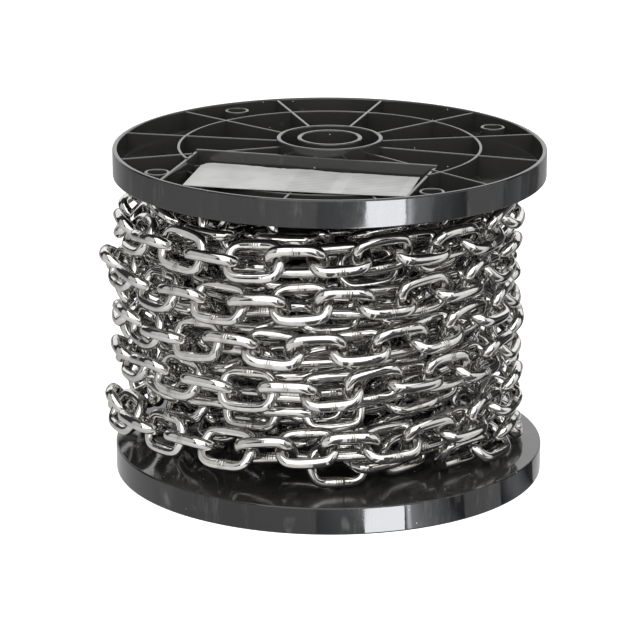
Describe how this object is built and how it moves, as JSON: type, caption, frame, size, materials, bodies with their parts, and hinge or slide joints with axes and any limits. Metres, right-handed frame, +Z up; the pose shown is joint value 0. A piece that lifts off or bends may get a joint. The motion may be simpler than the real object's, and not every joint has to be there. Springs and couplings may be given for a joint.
{
  "type": "reel of steel chain",
  "caption": "Welded steel link chain wound in layers on a ribbed black plastic reel, with a spindle bore through its drum and a label card in the top flange.",
  "frame": {"origin": "on the reel's axis, at the floor that the bottom flange's rim stands on", "axes": "+Z up along the reel's axis, from the plain-ribbed flange to the flange with the label card; +Y towards the back, away from the label"},
  "size_m": [0.2699, 0.2668, 0.2104],
  "materials": {
    "black_plastic": "glossy moulded black, scuffed",
    "polished_steel": "bright polished, with weld seams",
    "label_paper": "matt white card"
  },
  "bodies": {
    "root": {"bottom_flange": "black_plastic", "top_flange": "black_plastic", "drum": "black_plastic", "label_card": "label_paper", "inner_windings": "polished_steel", "chain_turn_1": "polished_steel", "chain_turn_2": "polished_steel", "chain_turn_3": "polished_steel", "chain_turn_4": "polished_steel", "chain_turn_5": "polished_steel"}
  },
  "joints": []
}
